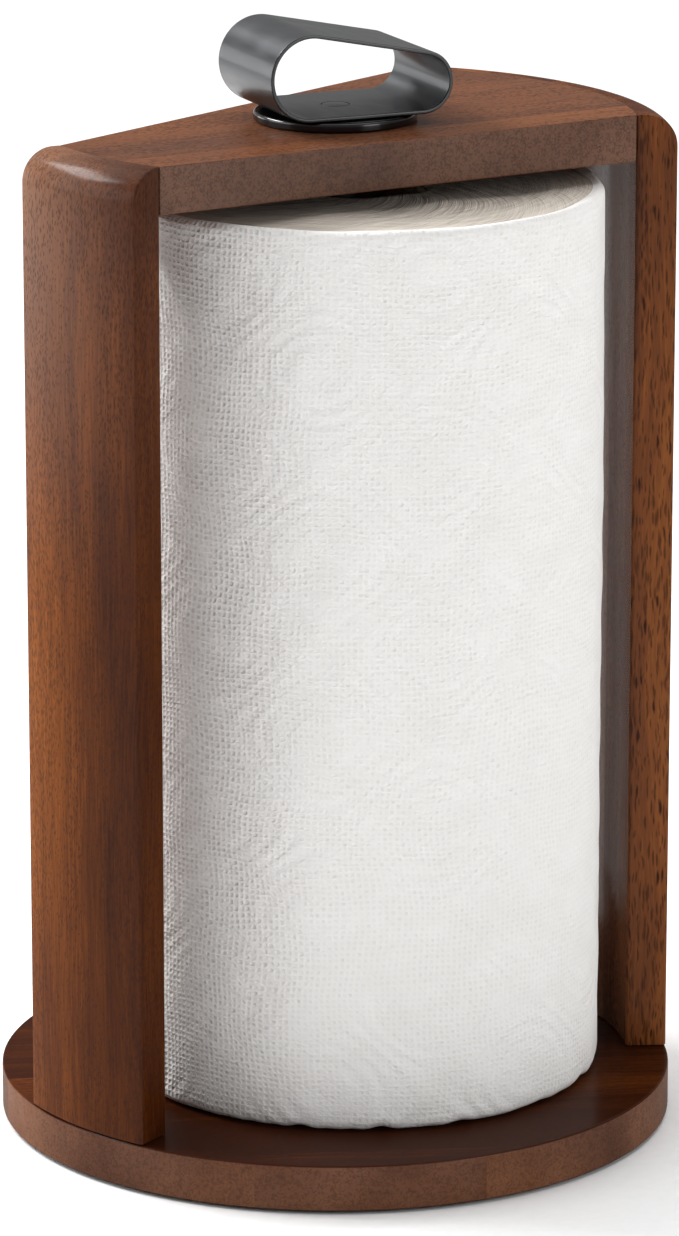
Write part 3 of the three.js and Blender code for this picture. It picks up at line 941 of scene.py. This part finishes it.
def cross_cutter(name, centre, low, high, arm):
    """A cross-shaped driver recess, which narrows as it goes in."""
    half = arm * 0.22
    plan = [(arm, -half), (arm, half), (half, half), (half, arm), (-half, arm), (-half, half),
            (-arm, half), (-arm, -half), (-half, -half), (-half, -arm), (half, -arm), (half, -half)]
    rings = [[(centre[0] + x * f, centre[1] + y * f, z) for x, y in plan]
             for z, f in ((low, 1.0), (high, 0.45))]
    return loft(name, rings)


def wood_screw_profile(head, low, high):
    """A countersunk head, a plain shank, ridges for the thread and a point."""
    shank, rim = head / 2, low + SCREW_RIM
    root = shank - THREAD_HEIGHT
    profile = [(head - HEAD_EASE, low), (head, low + HEAD_EASE), (head, rim), (shank, rim + shank)]
    z = rim + shank + PLAIN_SHANK
    while z < high - SCREW_POINT - MM:
        profile += [(root, z), (root, z + THREAD_PITCH * 0.55), (shank, z + THREAD_PITCH * 0.72),
                    (shank, z + THREAD_PITCH * 0.82)]
        z += THREAD_PITCH
    return profile + [(shank - 0.4 * MM, high - SCREW_POINT), (0.25 * MM, high)]


def wood_screws(material):
    for i in SCREWS:
        low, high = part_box(f"base_screw_{i}")
        centre = ((low + high) / 2).xy
        profile = wood_screw_profile((high.x - low.x) / 2, low.z, high.z)
        screw = turned(f"wood_screw_{i}", profile, 32, centre)
        carve(screw, [cross_cutter("drive", centre, low.z - GAP, low.z + DRIVE_DEPTH, DRIVE_ARM)])
        finish_piece(screw, "frame", "screw_steel", [f"base_screw_{i}"], material)


def dowels(material):
    """Fluted dowels, each along the radius on which its CAD piece lies."""
    ends = ((-DOWEL_HALF, 0.8), (-DOWEL_HALF + MM, 1.0), (DOWEL_HALF - MM, 1.0), (DOWEL_HALF, 0.8))
    for i in DOWELS:
        low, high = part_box(f"plate_dowel_{i}")
        middle = (low + high) / 2
        heading = math.atan2(middle.y, middle.x)
        radius = (high.z - low.z) / 2
        rings = []
        for along, scale in ends:
            ring = []
            for j in range(DOWEL_POINTS):
                r = radius * scale * (1 - FLUTE_DEPTH * (j % FLUTE_EVERY == 0))
                ring.append((along, *polar(r, 360 / DOWEL_POINTS * j)))
            rings.append(ring)
        dowel = loft(f"fluted_dowel_{i}", rings)
        dowel.data.transform(Matrix.Translation(middle) @ Matrix.Rotation(heading, 4, "Z"))
        dowel.data.set_sharp_from_angle(angle=math.radians(30))
        finish_piece(dowel, "frame", "dowel_wood", [f"plate_dowel_{i}"], material)


# ---------------------------------------------------------------- studio

FLOOR_REACH = 12.0
AMBIENT = 0.34


def studio_floor():
    """A plain pale floor with a faint tooth."""
    s = Shader("studio_floor")
    tooth = s.noise(s.place(), 240.0, 3.0)[0]
    s.set(Base_Color=s.ramp(tooth, ((0.3, (0.94, 0.94, 0.94)), (0.7, (0.97, 0.97, 0.97)))),
          Roughness=s.spread(tooth, 0.3, 0.7, 0.55, 0.65), Specular_IOR_Level=0.2)
    signs = ((-1, -1), (1, -1), (1, 1), (-1, 1))
    corners = [(x * FLOOR_REACH, y * FLOOR_REACH, 0) for x, y in signs]
    floor = new_object("floor", corners, [(0, 1, 2, 3)])
    floor.data.materials.append(s.material)


def softbox(name, heading, elevation, distance, size, power):
    """A rectangular soft light that faces the middle of the holder. Its heading is counted in
    degrees from +X towards +Y."""
    middle = (cad_box[0] + cad_box[1]) / 2
    flat = math.cos(math.radians(elevation))
    away = Vector((*polar(flat, heading), math.sin(math.radians(elevation))))
    light = bpy.data.lights.new(name, "AREA")
    light.shape = "RECTANGLE"
    light.size, light.size_y = size
    light.energy = power
    lamp = bpy.data.objects.new(name, light)
    lamp.location = middle + away * distance
    lamp.rotation_euler = (-away).to_track_quat("-Z", "Y").to_euler()
    bpy.context.scene.collection.objects.link(lamp)


def studio_light():
    """Even light all round, a broad soft light overhead and smaller ones for the highlights."""
    world = bpy.data.worlds.new("studio")
    world.use_nodes = True
    background = world.node_tree.nodes["Background"]
    background.inputs["Color"].default_value = (1.0, 1.0, 1.0, 1.0)
    background.inputs["Strength"].default_value = AMBIENT
    bpy.context.scene.world = world
    softbox("overhead", 60, 72, 4.5, (6.0, 6.0), 190)
    softbox("key_right", -68, 15, 1.7, (0.7, 1.1), 8.1)
    softbox("fill_left", 154, 18, 1.7, (1.2, 1.0), 11)
    softbox("strip_high_left", 124, 42, 1.8, (0.9, 0.36), 30)
    softbox("strip_low_left", 114, 8, 1.4, (0.5, 0.35), 1.8)


def camera():
    """The photograph's angle: turn and pitch in degrees, distance from the axis and height."""
    turn, pitch = -30.2, 14.949
    distance, height = 1.950, 0.6786
    data = bpy.data.cameras.new("camera")
    data.sensor_width = 36.0
    data.lens = 189.5
    data.shift_x = 0.0034
    eye = bpy.data.objects.new("camera", data)
    x, y = polar(distance, turn - 90)
    eye.location = (x, y, height)
    eye.rotation_euler = (math.radians(90 - pitch), 0, math.radians(turn))
    bpy.context.scene.collection.objects.link(eye)
    bpy.context.scene.camera = eye
    bpy.context.scene.view_settings.view_transform = "Standard"


camera()
studio_floor()
studio_light()

# The base: painted shade on its level faces, painted light that grows along Y, and a rim greyed
# partly as painted reflection
base_disc(wood("base_wood", (0, 0, 24), 43 * MM, 0.3, 11.0, tone=0.20, lean=2.0,
               level_face_shade=-0.64, boards=0.50, pores=0.4, speckled=True, gloss=0.18))
# The post: painted light along Y and towards the top, and a painted grey reflection that grows
# towards the top and along Y
curved_board("narrow_post_wood", "narrow_post", POST_ARC,
             wood("post_wood", (0, 90, 0), 200 * MM, 0.5, 23.0, tone=0.06, lean=9.0,
                  painted_top_shading=0.12, boards=0.1, figured=0.85, pores=0.42, high_painted_sheen=0.36,
                  painted_sheen_lean=19.0, gloss=0.14))
# The wall: painted shade towards the top, and a faint painted grey reflection all over
curved_board("wide_wall_wood", "wide_wall", WALL_ARC,
             wood("wall_wood", (0, 90, 0), 34 * MM, 0.4, 37.0, tone=0.16, painted_top_shading=-0.22,
                  figured=1.4, pores=0.6, flecks=0.9, pore_length=7 * MM, curl=1.2 * MM,
                  painted_sheen=0.06),
             # The inner face's copy of the wood is lighter, with a painted grey reflection that
             # grows towards the top
             wood("wall_inner_painted_sheen_wood", (0, 90, 0), 34 * MM, 0.4, 37.0, tone=0.28, pores=0.3,
                  painted_sheen=0.05, high_painted_sheen=0.30, gloss=0.9))
# The plate: upright faces greyed partly as painted reflection, and a painted grey reflection
# towards the top
top_plate(wood("plate_wood", (0, 0, 0), 52 * MM, 0.5, 51.0, tone=0.02, boards=0.04, figured=0.5,
               pores=0.50, speckled=True, high_painted_sheen=0.14, gloss=0.25))

gunmetal = satin_metal("gunmetal_paint", (0.038, 0.040, 0.043), (0.064, 0.066, 0.070), 0.36, 0.14)
black = satin_metal("black_paint", (0.010, 0.010, 0.011), (0.022, 0.022, 0.024), 0.2, 0.6)
strap_loop(gunmetal, black)
flange(black)
flush_screw(gunmetal)
lift_rod(gunmetal)

paper_roll(roll_side(), roll_end())
roll_core(cardboard())
foot_pads(rubber())
wood_screws(steel())
dowels(dowel_wood())
